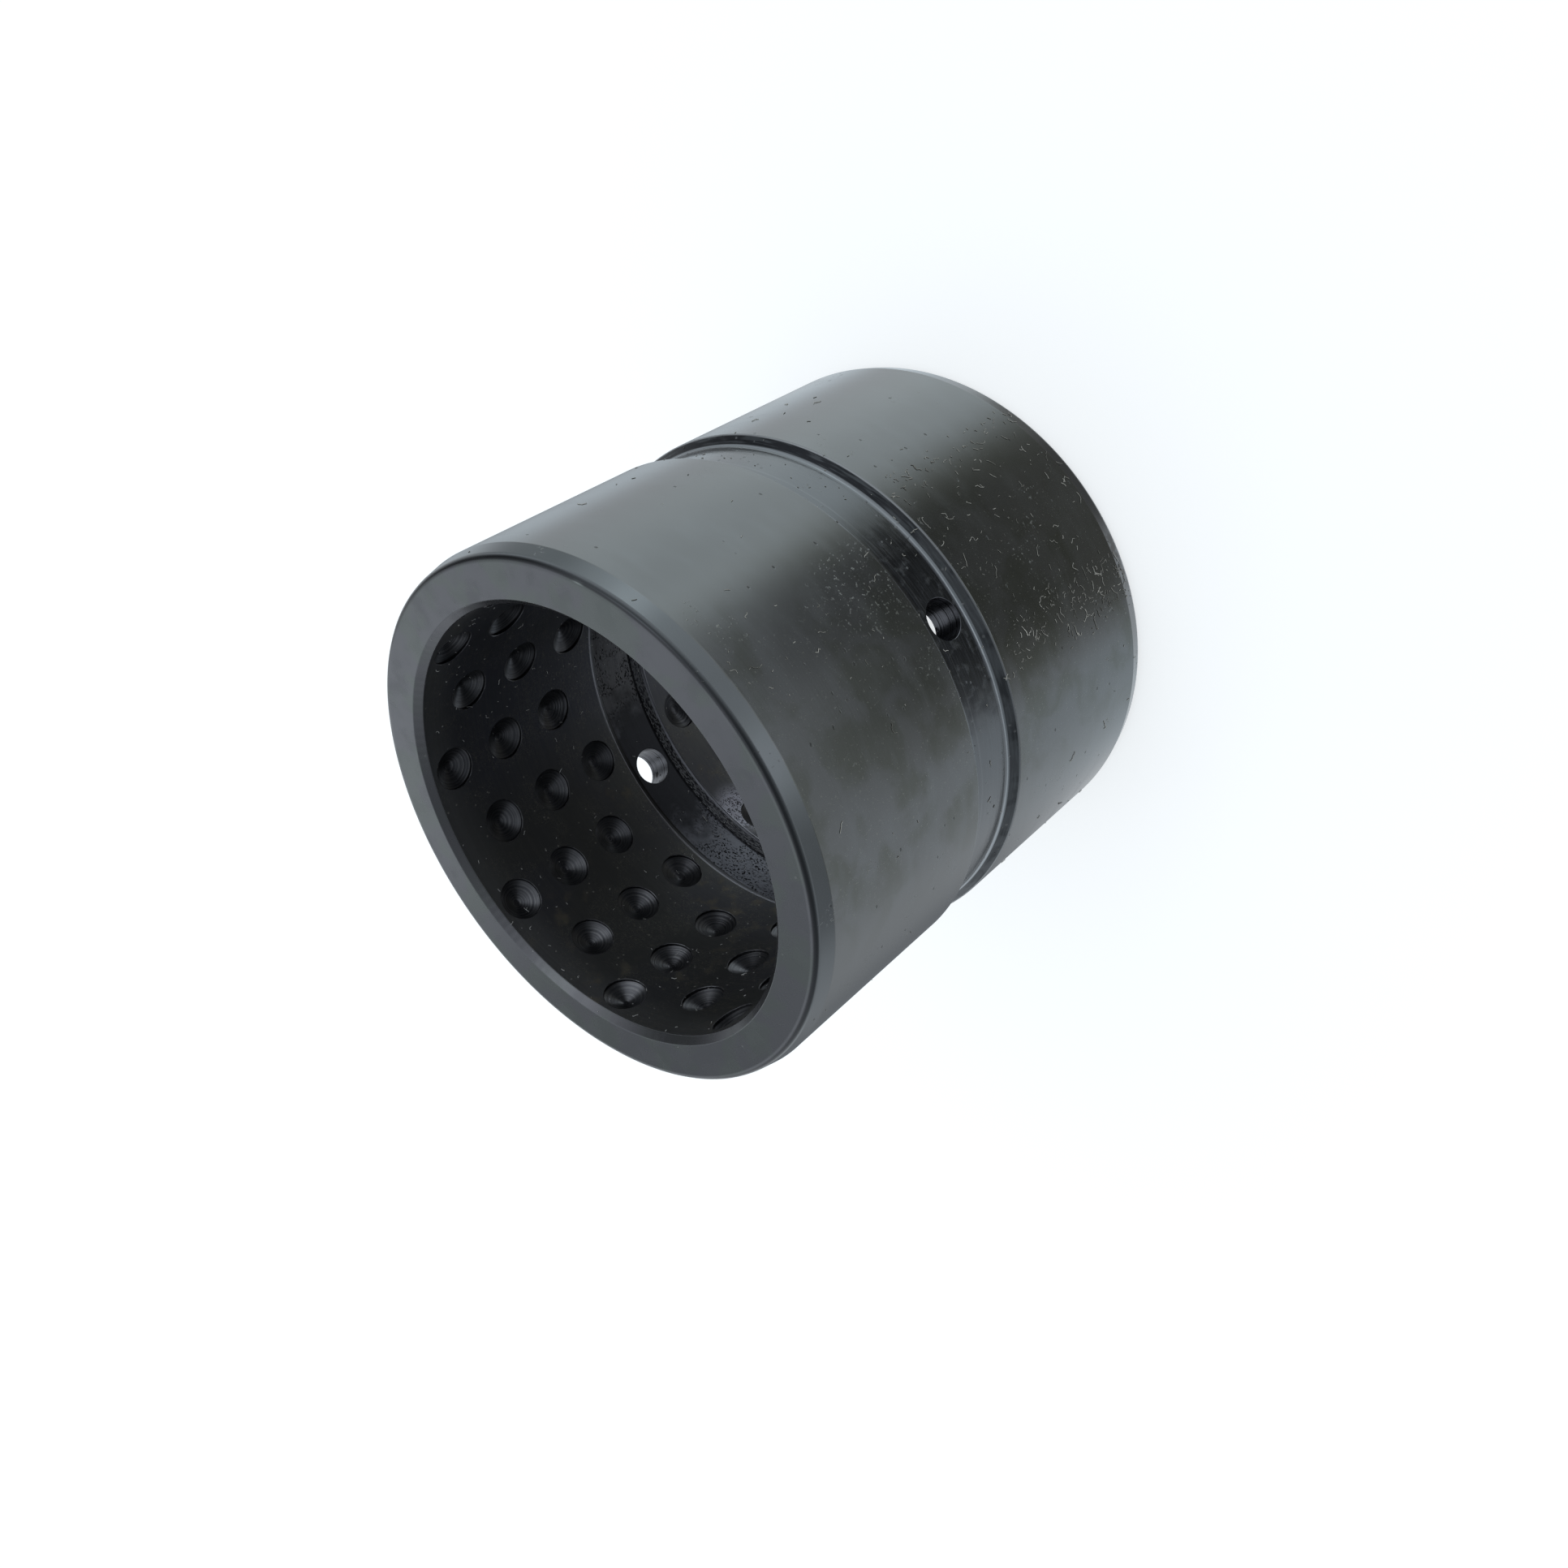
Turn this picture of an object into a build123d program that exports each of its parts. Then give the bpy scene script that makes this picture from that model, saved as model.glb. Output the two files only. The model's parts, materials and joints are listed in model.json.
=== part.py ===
"""Hardened steel pin bushing with a dimpled bore, a grease groove and two grease holes.

The bushing stands on its end: Z is its axis, and its lower end face lies on Z = 0.
One grease hole leaves along +X and the other along -X.
"""

from build123d import *
from math import radians, tan
import os

# Driving dimensions, in millimetres and degrees.

bore_diameter = 65.0            # runs on the pin
wall = 7.5                      # from the bore to the press-fit surface
length = 80.0

lead_in_length = 3.0            # slow taper that starts each end in its housing
lead_in_depth = 0.7
bore_chamfer = 1.0              # at 45 degrees, at both mouths of the bore

groove_width = 10.5             # outer grease groove, across its mouth
groove_depth = 1.4
groove_flank_angle = 45.0       # from the bushing's axis
groove_root_radius = 1.2

relief_width = 10.5             # relief groove in the bore, across its mouth
relief_depth = 1.15
relief_flank_angle = 34.0       # from the bushing's axis

grease_hole_diameter = 6.0

pocket_diameter = 6.4           # blind grease pockets, drilled into the bore
pocket_point_angle = 118.0      # included angle of the drill's point
pocket_sides = 10               # flats that stand for a pocket's round, to keep 108 of them light
pocket_columns = 18             # columns of pockets around the bore
pocket_row_pitch = 10.2
pocket_row_stagger = 4.75       # how much further from the end every other column starts
pocket_end_land = 1.8           # bore surface left between an end face and the first pocket
pocket_relief_land = 1.0        # least bore surface left between a pocket and the relief groove

drill_clearance = 1.0           # how far the drill starts clear of the bore's surface

# Sizes that follow from them.

bore_radius = bore_diameter / 2
outer_radius = bore_radius + wall
end_face_radius = outer_radius - lead_in_depth
middle = length / 2
groove_floor_radius = outer_radius - groove_depth
groove_half_floor = groove_width / 2 - groove_depth / tan(radians(groove_flank_angle))
pocket_radius = pocket_diameter / 2
column_angle = 360 / pocket_columns
first_row = pocket_end_land + pocket_radius
last_row_limit = middle - relief_width / 2 - pocket_relief_land - pocket_radius


def corner_pair(sketch, radius, from_middle):
    """The two corners of a turned section at this radius, one each side of the middle."""
    return [
        sketch.vertices().sort_by_distance(Vector(radius, middle + side * from_middle))[0]
        for side in (-1, 1)
    ]


def pocket_places():
    """Where the pocket drill enters, column by column and mirrored about the middle."""
    places = []
    for column in range(pocket_columns):
        turn = (column + 0.5) * column_angle
        from_end = first_row
        if column % 2 == 0:
            from_end += pocket_row_stagger
        while from_end <= last_row_limit:
            places.append(Location((0, 0, from_end), (0, 0, turn)))
            places.append(Location((0, 0, length - from_end), (0, 0, turn)))
            from_end += pocket_row_pitch
    return places


# The point of the drill that cuts a pocket. It lies along +X, tip away from the axis.

with BuildPart() as pocket_drill:
    drill_slope = tan(radians(pocket_point_angle / 2))
    pocket_tip = Vertex(bore_radius + pocket_radius / drill_slope, 0, 0)
    with BuildSketch(Plane.YZ.offset(bore_radius - drill_clearance)) as drill_mouth:
        RegularPolygon(pocket_radius + drill_clearance * drill_slope, pocket_sides)
    loft(sections=[drill_mouth.sketch.face(), pocket_tip], ruled=True)

# The bushing: its section is drawn and turned, and then it is drilled.

with BuildPart() as bushing:
    with BuildSketch(Plane.XZ) as section:
        with BuildLine():
            Polyline(
                (bore_radius + bore_chamfer, 0),
                (end_face_radius, 0),
                (outer_radius, lead_in_length),
                (outer_radius, length - lead_in_length),
                (end_face_radius, length),
                (bore_radius + bore_chamfer, length),
                (bore_radius, length - bore_chamfer),
                (bore_radius, bore_chamfer),
                close=True,
            )
        make_face()
        with Locations(Location((outer_radius, middle), 90)):
            Trapezoid(
                groove_width,
                groove_depth,
                groove_flank_angle,
                align=(Align.CENTER, Align.MIN),
                mode=Mode.SUBTRACT,
            )
        with Locations(Location((bore_radius, middle), -90)):
            Trapezoid(
                relief_width,
                relief_depth,
                relief_flank_angle,
                align=(Align.CENTER, Align.MIN),
                mode=Mode.SUBTRACT,
            )
        fillet(corner_pair(section, groove_floor_radius, groove_half_floor), groove_root_radius)
    revolve(axis=Axis.Z)

    with BuildSketch(Plane.YZ):
        with Locations((0, middle)):
            Circle(grease_hole_diameter / 2)
    extrude(amount=outer_radius, both=True, mode=Mode.SUBTRACT)

    with Locations(*pocket_places()):
        add(pocket_drill.part, mode=Mode.SUBTRACT)

bushing.part.label = "bushing"

os.makedirs("parts", exist_ok=True)
export_step(bushing.part, "parts/bushing.step")
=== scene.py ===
"""Looks of the dimpled steel pin bushing: a turned, drilled and blacked sleeve on a pale floor."""

import json
import math
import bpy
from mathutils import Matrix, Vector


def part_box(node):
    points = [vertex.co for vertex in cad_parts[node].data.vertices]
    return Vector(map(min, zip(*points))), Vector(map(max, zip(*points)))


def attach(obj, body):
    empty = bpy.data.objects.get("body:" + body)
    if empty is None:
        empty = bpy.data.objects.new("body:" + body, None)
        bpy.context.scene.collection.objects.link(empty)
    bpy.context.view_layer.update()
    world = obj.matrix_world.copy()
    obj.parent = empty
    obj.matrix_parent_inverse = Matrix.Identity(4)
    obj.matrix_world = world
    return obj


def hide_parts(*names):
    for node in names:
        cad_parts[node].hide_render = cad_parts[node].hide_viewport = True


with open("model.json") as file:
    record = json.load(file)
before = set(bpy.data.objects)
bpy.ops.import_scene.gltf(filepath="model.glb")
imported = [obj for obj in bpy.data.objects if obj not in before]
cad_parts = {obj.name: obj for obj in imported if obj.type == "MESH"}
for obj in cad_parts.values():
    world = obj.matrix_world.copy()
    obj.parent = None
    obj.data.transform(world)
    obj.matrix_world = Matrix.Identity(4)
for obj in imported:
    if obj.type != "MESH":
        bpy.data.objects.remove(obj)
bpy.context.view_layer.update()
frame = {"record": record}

from types import SimpleNamespace

import bmesh
import bpy
from mathutils import Matrix, Vector

# ---------------------------------------- sizes, in metres

MM = 0.001


def mount(name):
    """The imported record's mount of this name."""
    return next(m for m in frame["record"]["mounts"] if m["name"] == name)


BORE_R = mount("pin_bore")["dims"]["r_mm"] * MM
OUTER_R = mount("housing_seat")["dims"]["r_mm"] * MM
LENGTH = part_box("bushing")[1].z
MIDDLE = LENGTH / 2

BORE_CHAMFER = (LENGTH - mount("pin_bore")["dims"]["length_mm"] * MM) / 2
LEAD_IN_LENGTH = (LENGTH - mount("housing_seat")["dims"]["length_mm"] * MM) / 2
LEAD_IN_DEPTH = 0.7 * MM

GROOVE_HALF = 5.25 * MM             # outer grease groove, half its mouth
GROOVE_DEPTH = 1.4 * MM
GROOVE_FLOOR_R = OUTER_R - GROOVE_DEPTH
GROOVE_FLANK = 1.4 * MM             # how much of the width each flank takes
RELIEF_HALF = 5.25 * MM             # relief groove in the bore, half its mouth
RELIEF_DEPTH = 1.15 * MM
RELIEF_FLOOR_R = BORE_R + RELIEF_DEPTH
RELIEF_FLANK = 1.705 * MM
GREASE_HOLE_R = 3.0 * MM

POCKET_R = 3.2 * MM
POCKET_WALL = 0.32 * MM             # full-diameter depth at a pocket's middle, with the wear
POCKET_POINT = POCKET_R / math.tan(math.radians(59))
POCKET_DISH = 1.3                   # a worn point: 1 is a sharp cone, 2 a round bowl
POCKET_FILL = 0.82                  # how much of the sharp point's depth is left
POCKET_COLUMNS = 18
POCKET_FIRST_ROW = 5.0 * MM         # from an end face
POCKET_ROW_PITCH = 10.2 * MM
POCKET_STAGGER = 4.75 * MM
POCKET_ROWS = 3


def new_object(name, data):
    """A new object of the scene."""
    item = bpy.data.objects.new(name, data)
    bpy.context.scene.collection.objects.link(item)
    return item


# ---------------------------------------- camera

CAMERA_PLACE = Vector((180.0, 14.8, 195.1)) * MM
CAMERA_AHEAD = Vector((-0.7681, -0.1053, -0.6316))
CAMERA_UP = Vector((0.2575, 0.8523, -0.4553))
CAMERA_LENS = 36.58                 # on a 36 mm sensor
CAMERA_SHIFT_X = 0.0055


def make_camera():
    data = bpy.data.cameras.new("camera")
    data.sensor_width = 36
    data.lens = CAMERA_LENS
    data.shift_x = CAMERA_SHIFT_X
    data.clip_start = 0.01
    data.clip_end = 20
    camera = new_object("camera", data)
    back = -CAMERA_AHEAD.normalized()
    right = CAMERA_UP.cross(back).normalized()
    turn = Matrix((right, back.cross(right), back)).transposed()
    camera.matrix_world = Matrix.Translation(CAMERA_PLACE) @ turn.to_4x4()
    bpy.context.scene.camera = camera


make_camera()

# ---------------------------------------- the turned and drilled shell

SEGMENTS_PER_COLUMN = 12
SEGMENTS = POCKET_COLUMNS * SEGMENTS_PER_COLUMN
RIM_POINTS = 36                     # points round a pocket or a grease hole
EDGE_STRIP = 0.3 * MM               # bore surface that belongs to the turned outline, at each edge
ZONES = ("ground", "groove", "turned_end", "bore", "relief", "pocket", "drilled")


class Shell:
    """Points and faces, each face with the zone of the surface that it belongs to."""

    def __init__(self):
        self.points = []
        self.faces = []
        self.zones = []

    def add_points(self, places):
        start = len(self.points)
        self.points.extend(tuple(p) for p in places)
        return list(range(start, len(self.points)))

    def add_face(self, corners, zone):
        self.faces.append(tuple(corners))
        self.zones.append(ZONES.index(zone))

    def bridge(self, loop_a, loop_b, zone):
        """Quads between two closed loops of the same count."""
        for i in range(len(loop_a)):
            self.add_face((loop_a[i - 1], loop_a[i], loop_b[i], loop_b[i - 1]), zone)

    def stitch(self, outer, outer_angles, inner, inner_angles, zone):
        """Triangles between two closed loops, both in order of angle round the same centre."""
        outer = outer + outer[:1]
        inner = inner + inner[:1]
        outer_angles = outer_angles + [outer_angles[0] + 2 * math.pi]
        inner_angles = inner_angles + [inner_angles[0] + 2 * math.pi]
        i = j = 0
        while i < len(outer) - 1 or j < len(inner) - 1:
            inner_done = j == len(inner) - 1
            outer_done = i == len(outer) - 1
            if inner_done or (not outer_done and outer_angles[i + 1] <= inner_angles[j + 1]):
                self.add_face((outer[i], outer[i + 1], inner[j]), zone)
                i += 1
            else:
                self.add_face((outer[i], inner[j + 1], inner[j]), zone)
                j += 1

    def to_mesh(self, name):
        mesh = bpy.data.meshes.new(name)
        mesh.from_pydata(self.points, [], self.faces)
        mesh.polygons.foreach_set("material_index", self.zones)
        return mesh


def round_corners(corners, steps=4, support=0.05 * MM):
    """A turned outline with rounded corners, from (radius, height, rounding, zone up to the next) rows.

    A point is kept just outside each arc, so that the straight stretches shade flat.
    """
    outline = []
    for k, (radius, height, rounding, zone) in enumerate(corners):
        here = Vector((radius, height))
        if rounding == 0:
            outline.append((here, zone))
            continue
        zone_before = corners[k - 1][3]
        before = (Vector(corners[k - 1][:2]) - here).normalized()
        after = (Vector(corners[k + 1][:2]) - here).normalized()
        run = rounding / math.tan(before.angle(after) / 2)
        outline.append((here + before * (run + support), zone_before))
        for step in range(steps + 1):
            t = step / steps
            arc_point = here + before * run * (1 - t) ** 2 + after * run * t ** 2
            outline.append((arc_point, zone_before if t < 0.5 else zone))
        outline.append((here + after * (run + support), zone))
    return outline


def outer_outline():
    """From the lower bore mouth, round the outside, to the floor of the grease groove."""
    return round_corners([
        (BORE_R, BORE_CHAMFER + EDGE_STRIP, 0, "bore"),
        (BORE_R, BORE_CHAMFER, 0.3 * MM, "turned_end"),
        (BORE_R + BORE_CHAMFER, 0, 0.15 * MM, "turned_end"),
        (OUTER_R - LEAD_IN_DEPTH, 0, 1.05 * MM, "ground"),
        (OUTER_R, LEAD_IN_LENGTH, 0.6 * MM, "ground"),
        (OUTER_R, MIDDLE - GROOVE_HALF, 0.25 * MM, "groove"),
        (GROOVE_FLOOR_R, MIDDLE - GROOVE_HALF + GROOVE_FLANK, 1.2 * MM, "groove"),
        (GROOVE_FLOOR_R, MIDDLE, 0, "groove"),
    ])[:-1]


def relief_outline():
    """From the bore's lower land to the floor of the relief groove."""
    return round_corners([
        (BORE_R, MIDDLE - RELIEF_HALF - EDGE_STRIP, 0, "bore"),
        (BORE_R, MIDDLE - RELIEF_HALF, 0.2 * MM, "relief"),
        (RELIEF_FLOOR_R, MIDDLE - RELIEF_HALF + RELIEF_FLANK, 0.12 * MM, "relief"),
        (RELIEF_FLOOR_R, MIDDLE, 0, "relief"),
    ])[:-1]


def round_point(radius, segment, height):
    """A point at this segment's place round the axis."""
    angle = 2 * math.pi * segment / SEGMENTS
    return (radius * math.cos(angle), radius * math.sin(angle), height)


def lathe(shell, outline):
    """The outline turned all the way round the axis."""
    loops = [
        shell.add_points(round_point(p.x, s, p.y) for s in range(SEGMENTS)) for p, _ in outline
    ]
    for k in range(len(loops) - 1):
        shell.bridge(loops[k], loops[k + 1], outline[k][1])


RIM_ANGLES = [2 * math.pi * (k + 0.5) / RIM_POINTS - math.pi for k in range(RIM_POINTS)]


def opening_loop(shell, surface_r, centre_angle, centre_height, opening_r):
    """A loop on a round surface, at this distance from a drill's axis."""
    places = []
    for a in RIM_ANGLES:
        across = opening_r * math.cos(a)
        turn = centre_angle + math.asin(across / surface_r)
        places.append((
            surface_r * math.cos(turn),
            surface_r * math.sin(turn),
            centre_height + opening_r * math.sin(a),
        ))
    return shell.add_points(places)


def cell_with_opening(shell, surface_r, segments, heights, centre, opening_r, support, zone):
    """A patch of a round surface with a round opening. Returns the opening's loop.

    segments is the first and the last segment, heights every height of the patch's sides,
    centre is the opening's (segment, height), and support is a narrow flat strip round it.
    """
    first, last = segments
    border = [(s, h) for s in range(first, last + 1) for h in (heights[0], heights[-1])]
    border += [(s, h) for s in (first, last) for h in heights[1:-1]]
    segment_length = 2 * math.pi * surface_r / SEGMENTS

    def angle_of(place):
        return math.atan2(place[1] - centre[1], (place[0] - centre[0]) * segment_length)

    border.sort(key=angle_of)
    outer = shell.add_points(round_point(surface_r, s, h) for s, h in border)
    centre_angle = 2 * math.pi * centre[0] / SEGMENTS
    strip = opening_loop(shell, surface_r, centre_angle, centre[1], opening_r + support)
    rim = opening_loop(shell, surface_r, centre_angle, centre[1], opening_r)
    shell.stitch(outer, [angle_of(p) for p in border], strip, RIM_ANGLES, zone)
    shell.bridge(strip, rim, zone)
    return rim


POCKET_BREAK = 0.08 * MM            # how far the pockets' broken edges reach
GREASE_HOLE_BREAK = 0.06 * MM       # and the grease holes'
POCKET_RIM_R = POCKET_R + POCKET_BREAK
GREASE_RIM_R = GREASE_HOLE_R + GREASE_HOLE_BREAK


def lower_land(shell):
    """The lower half of the bore, cut into one patch for each pocket."""
    bottom = BORE_CHAMFER + EDGE_STRIP
    top = MIDDLE - RELIEF_HALF - EDGE_STRIP
    levels = 40
    heights = [bottom + (top - bottom) * k / levels for k in range(levels + 1)]
    for column in range(POCKET_COLUMNS):
        stagger = POCKET_STAGGER if column % 2 == 0 else 0
        rows = [POCKET_FIRST_ROW + stagger + POCKET_ROW_PITCH * k for k in range(POCKET_ROWS)]
        first = column * SEGMENTS_PER_COLUMN
        start = 0
        for k, row in enumerate(rows):
            end = levels
            if k < POCKET_ROWS - 1:
                end = round((row + POCKET_ROW_PITCH / 2 - bottom) / (top - bottom) * levels)
            cell_with_opening(
                shell, BORE_R, (first, first + SEGMENTS_PER_COLUMN), heights[start:end + 1],
                (first + SEGMENTS_PER_COLUMN / 2, row), POCKET_RIM_R, 0.15 * MM, "bore",
            )
            start = end


def floor_with_grease_holes(shell, edge, zone):
    """A groove's floor, up from this edge, with a round opening at each side of the bushing.

    Returns the loops of the two openings.
    """
    radius, half_width = edge.x, MIDDLE - edge.y
    rows = 8
    window = 4                      # segments each side of a hole's middle
    heights = [MIDDLE + half_width * (2 * k / rows - 1) for k in range(rows + 1)]
    loops = [shell.add_points(round_point(radius, s, h) for s in range(SEGMENTS)) for h in heights]
    for s in range(SEGMENTS):
        from_hole = min((s + 0.5) % (SEGMENTS // 2), (-s - 0.5) % (SEGMENTS // 2))
        following = (s + 1) % SEGMENTS
        if from_hole > window:
            for low, high in zip(loops, loops[1:]):
                shell.add_face((low[s], low[following], high[following], high[s]), zone)
    return [
        cell_with_opening(
            shell, radius, (middle - window, middle + window), heights,
            (middle, MIDDLE), GREASE_RIM_R, 0.12 * MM, zone,
        )
        for middle in (0, SEGMENTS // 2)
    ]


def grease_hole_wall(shell, inner_rim, outer_rim, side):
    """The drilled wall between the openings in the two groove floors, with broken edges."""
    rings = 14
    loops = [inner_rim]
    for ring in range(rings + 1):
        t = ring / rings
        places = []
        for a in RIM_ANGLES:
            across = GREASE_HOLE_R * math.cos(a)
            near = math.sqrt(RELIEF_FLOOR_R ** 2 - across ** 2) + GREASE_HOLE_BREAK
            far = math.sqrt(GROOVE_FLOOR_R ** 2 - across ** 2) - GREASE_HOLE_BREAK
            x = near + (far - near) * t
            places.append((side * x, side * across, MIDDLE + GREASE_HOLE_R * math.sin(a)))
        loops.append(shell.add_points(places))
    loops.append(outer_rim)
    for loop_a, loop_b in zip(loops, loops[1:]):
        shell.bridge(loop_a, loop_b, "drilled")


def add_mirror_image(shell):
    """The upper half of the shell, from its lower half."""
    count = len(shell.points)
    shell.points += [(x, y, LENGTH - z) for x, y, z in shell.points]
    shell.faces += [tuple(i + count for i in reversed(face)) for face in shell.faces]
    shell.zones += shell.zones


def shell_mesh():
    """The bushing's whole surface but for the pockets, open at each pocket's rim."""
    shell = Shell()
    outer, relief = outer_outline(), relief_outline()
    lathe(shell, outer)
    lathe(shell, relief)
    lower_land(shell)
    add_mirror_image(shell)
    outer_rims = floor_with_grease_holes(shell, outer[-1][0], "groove")
    inner_rims = floor_with_grease_holes(shell, relief[-1][0], "relief")
    for inner_rim, outer_rim, side in zip(inner_rims, outer_rims, (1, -1)):
        grease_hole_wall(shell, inner_rim, outer_rim, side)
    return shell.to_mesh("turned_shell")


def pocket_mesh():
    """One drilled pocket at the angle and height of zero, from its rim to its tip."""
    shell = Shell()
    rim = opening_loop(shell, BORE_R, 0, 0, POCKET_RIM_R)
    cone_start = BORE_R + POCKET_WALL

    def ring(radius, depth_from_surface=None, x=None):
        places = []
        for a in RIM_ANGLES:
            across = radius * math.cos(a)
            surface = math.sqrt(BORE_R ** 2 - across ** 2)
            places.append((x or surface + depth_from_surface, across, radius * math.sin(a)))
        return shell.add_points(places)

    loops = [rim, ring(POCKET_R, POCKET_BREAK), ring(POCKET_R, x=cone_start)]
    for radius in (0.94, 0.82, 0.68, 0.54, 0.4, 0.26, 0.12):
        dished = 1 - radius ** POCKET_DISH
        loops.append(ring(POCKET_R * radius, x=cone_start + POCKET_POINT * POCKET_FILL * dished))
    for loop_a, loop_b in zip(loops, loops[1:]):
        shell.bridge(loop_a, loop_b, "pocket")
    tip = shell.add_points([(cone_start + POCKET_POINT * POCKET_FILL, 0, 0)])[0]
    for i in range(RIM_POINTS):
        shell.add_face((loops[-1][i - 1], loops[-1][i], tip), "pocket")
    return shell.to_mesh("pocket")


# ---------------------------------------- node helpers


def add(tree, kind, inputs=None, **settings):
    """A new node with its settings, its input values and the links into it.

    A shader or maths node goes by its type without the prefix ShaderNode.
    """
    node = tree.nodes.new(kind if "Node" in kind else "ShaderNode" + kind)
    for name, value in settings.items():
        setattr(node, name, value)
    for key, value in (inputs or {}).items():
        if isinstance(value, bpy.types.Node):
            value = next(socket for socket in value.outputs if socket.enabled)
        if isinstance(value, bpy.types.NodeSocket):
            tree.links.new(value, node.inputs[key])
        else:
            node.inputs[key].default_value = value
    return node


def blank_tree(owner):
    """The node tree of a new material or world, emptied."""
    owner.use_nodes = True
    owner.node_tree.nodes.clear()
    return owner.node_tree


def tree_with_inputs(name, sizes):
    """A geometry node tree with a geometry in and out, and one input for each of its sizes."""
    tree = bpy.data.node_groups.new(name, "GeometryNodeTree")
    tree.interface.new_socket("Geometry", in_out="INPUT", socket_type="NodeSocketGeometry")
    tree.interface.new_socket("Geometry", in_out="OUTPUT", socket_type="NodeSocketGeometry")
    kinds = {int: "NodeSocketInt", float: "NodeSocketFloat"}
    for size, value in sizes.items():
        kind = kinds.get(type(value), "NodeSocketObject")
        tree.interface.new_socket(size, in_out="INPUT", socket_type=kind)
    return tree, add(tree, "NodeGroupInput")


def grown(name, mesh, tree, sizes):
    """The plain mesh that a geometry node tree makes from this mesh and these sizes."""
    carrier = new_object(name, mesh)
    modifier = carrier.modifiers.new(name, "NODES")
    modifier.node_group = tree
    for item in tree.interface.items_tree:
        if item.in_out == "INPUT" and item.name in sizes:
            modifier[item.identifier] = sizes[item.name]
    bpy.context.view_layer.update()
    evaluated = carrier.evaluated_get(bpy.context.evaluated_depsgraph_get())
    result = bpy.data.meshes.new_from_object(evaluated)
    carrier.modifiers.clear()
    bpy.data.objects.remove(carrier)
    return result


def paint(hex_colour):
    """An sRGB hex colour as the linear RGBA that Blender's sockets take."""
    parts = [int(hex_colour[i:i + 2], 16) / 255 for i in (1, 3, 5)]
    return [c / 12.92 if c <= 0.04045 else ((c + 0.055) / 1.055) ** 2.4 for c in parts] + [1]


# ---------------------------------------- finishes
#
# The bushing is one piece of hardened steel, blacked hot in an alkaline salt bath and wiped with
# oil. Magnetite is a dark mirror: it reflects an eighth of the light, a little of it as haze.
# What was ground stays smooth, and what was only turned or drilled keeps its tool marks.
# Every length in the finishes is in millimetres.


def finish_tree(name):
    """A finish, its node tree, and at: the place and what follows from it.

    flat is the place without its height, side its Y, height its Z, turn its angle round the
    axis in radians, and from_middle how far it is above or below the bushing's middle.
    """
    finish = bpy.data.materials.new(name)
    tree = blank_tree(finish)
    place = add(tree, "VectorMath", {
        0: add(tree, "TexCoord").outputs["Object"], 1: [1 / MM] * 3,
    }, operation="MULTIPLY")
    axes = add(tree, "SeparateXYZ", {0: place}).outputs
    flat = add(tree, "VectorMath", {0: place, 1: (1, 1, 0)}, operation="MULTIPLY")
    from_middle = add(tree, "Math", {0: axes["Z"], 1: MIDDLE / MM}, operation="SUBTRACT")
    at = SimpleNamespace(
        place=place, flat=flat, side=axes["Y"], height=axes["Z"],
        radius=add(tree, "VectorMath", {0: flat}, operation="LENGTH"),
        turn=add(tree, "Math", {0: axes["Y"], 1: axes["X"]}, operation="ARCTAN2"),
        from_middle=add(tree, "Math", {0: from_middle}, operation="ABSOLUTE"),
    )
    return finish, tree, at


# Each function below works in the node tree that the place, value or mask it is given belongs
# to: its id_data.


def stretched(place, across, along):
    """The place squeezed so that a noise on it is drawn out round the bushing, or along it."""
    squeeze = (across, across, along)
    return add(place.id_data, "VectorMath", {0: place, 1: squeeze}, operation="MULTIPLY")


def overlap(*masks):
    """1 where all of these masks are 1: their product."""
    shared = masks[0]
    for mask in masks[1:]:
        shared = add(mask.id_data, "Math", {0: shared, 1: mask}, operation="MULTIPLY")
    return shared


def band(value, low, high, softness):
    """1 between low and high."""
    rise, fall = (
        add(value.id_data, "MapRange", {"Value": value, 1: edge - soft, 2: edge + soft},
            interpolation_type="SMOOTHSTEP")
        for edge, soft in ((low, softness), (high, -softness))
    )
    return overlap(rise, fall)


def spot(place, centre, near, far):
    """1 at this point, fading to 0 between these distances."""
    tree = place.id_data
    away = add(tree, "VectorMath", {0: place, 1: centre}, operation="DISTANCE")
    return add(tree, "MapRange", {"Value": away, 1: far, 2: near}, interpolation_type="SMOOTHSTEP")


def cloud(place, size, low, high, detail=3.0, distortion=0.0):
    """A mask of soft patches of this size, from 0 below low to 1 above high."""
    tree = place.id_data
    noise = add(tree, "TexNoise", {
        "Vector": place, "Scale": 1 / size, "Detail": detail, "Distortion": distortion,
    })
    return add(tree, "MapRange", {"Value": noise, 1: low, 2: high}, interpolation_type="SMOOTHSTEP")


def specks(place, spacing, size, share):
    """A mask of dots of this size, one to a cell of this spacing, in a share of the cells."""
    tree = place.id_data
    ragged = add(tree, "TexNoise", {"Vector": place, "Scale": 2.2, "Detail": 1})
    cells = add(tree, "TexVoronoi", {
        "Vector": add(tree, "Mix", {0: 0.12, 4: place, 5: ragged.outputs["Color"]},
                      data_type="VECTOR"),
        "Scale": 1 / spacing,
    })
    near = add(tree, "MapRange", {
        "Value": cells.outputs["Distance"], 1: size / spacing, 2: size / spacing * 0.6,
    })
    pick = add(tree, "SeparateColor", {0: cells.outputs["Color"]})
    picked = add(tree, "Math", {0: pick, 1: share}, operation="LESS_THAN")
    return overlap(near, picked)


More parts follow.
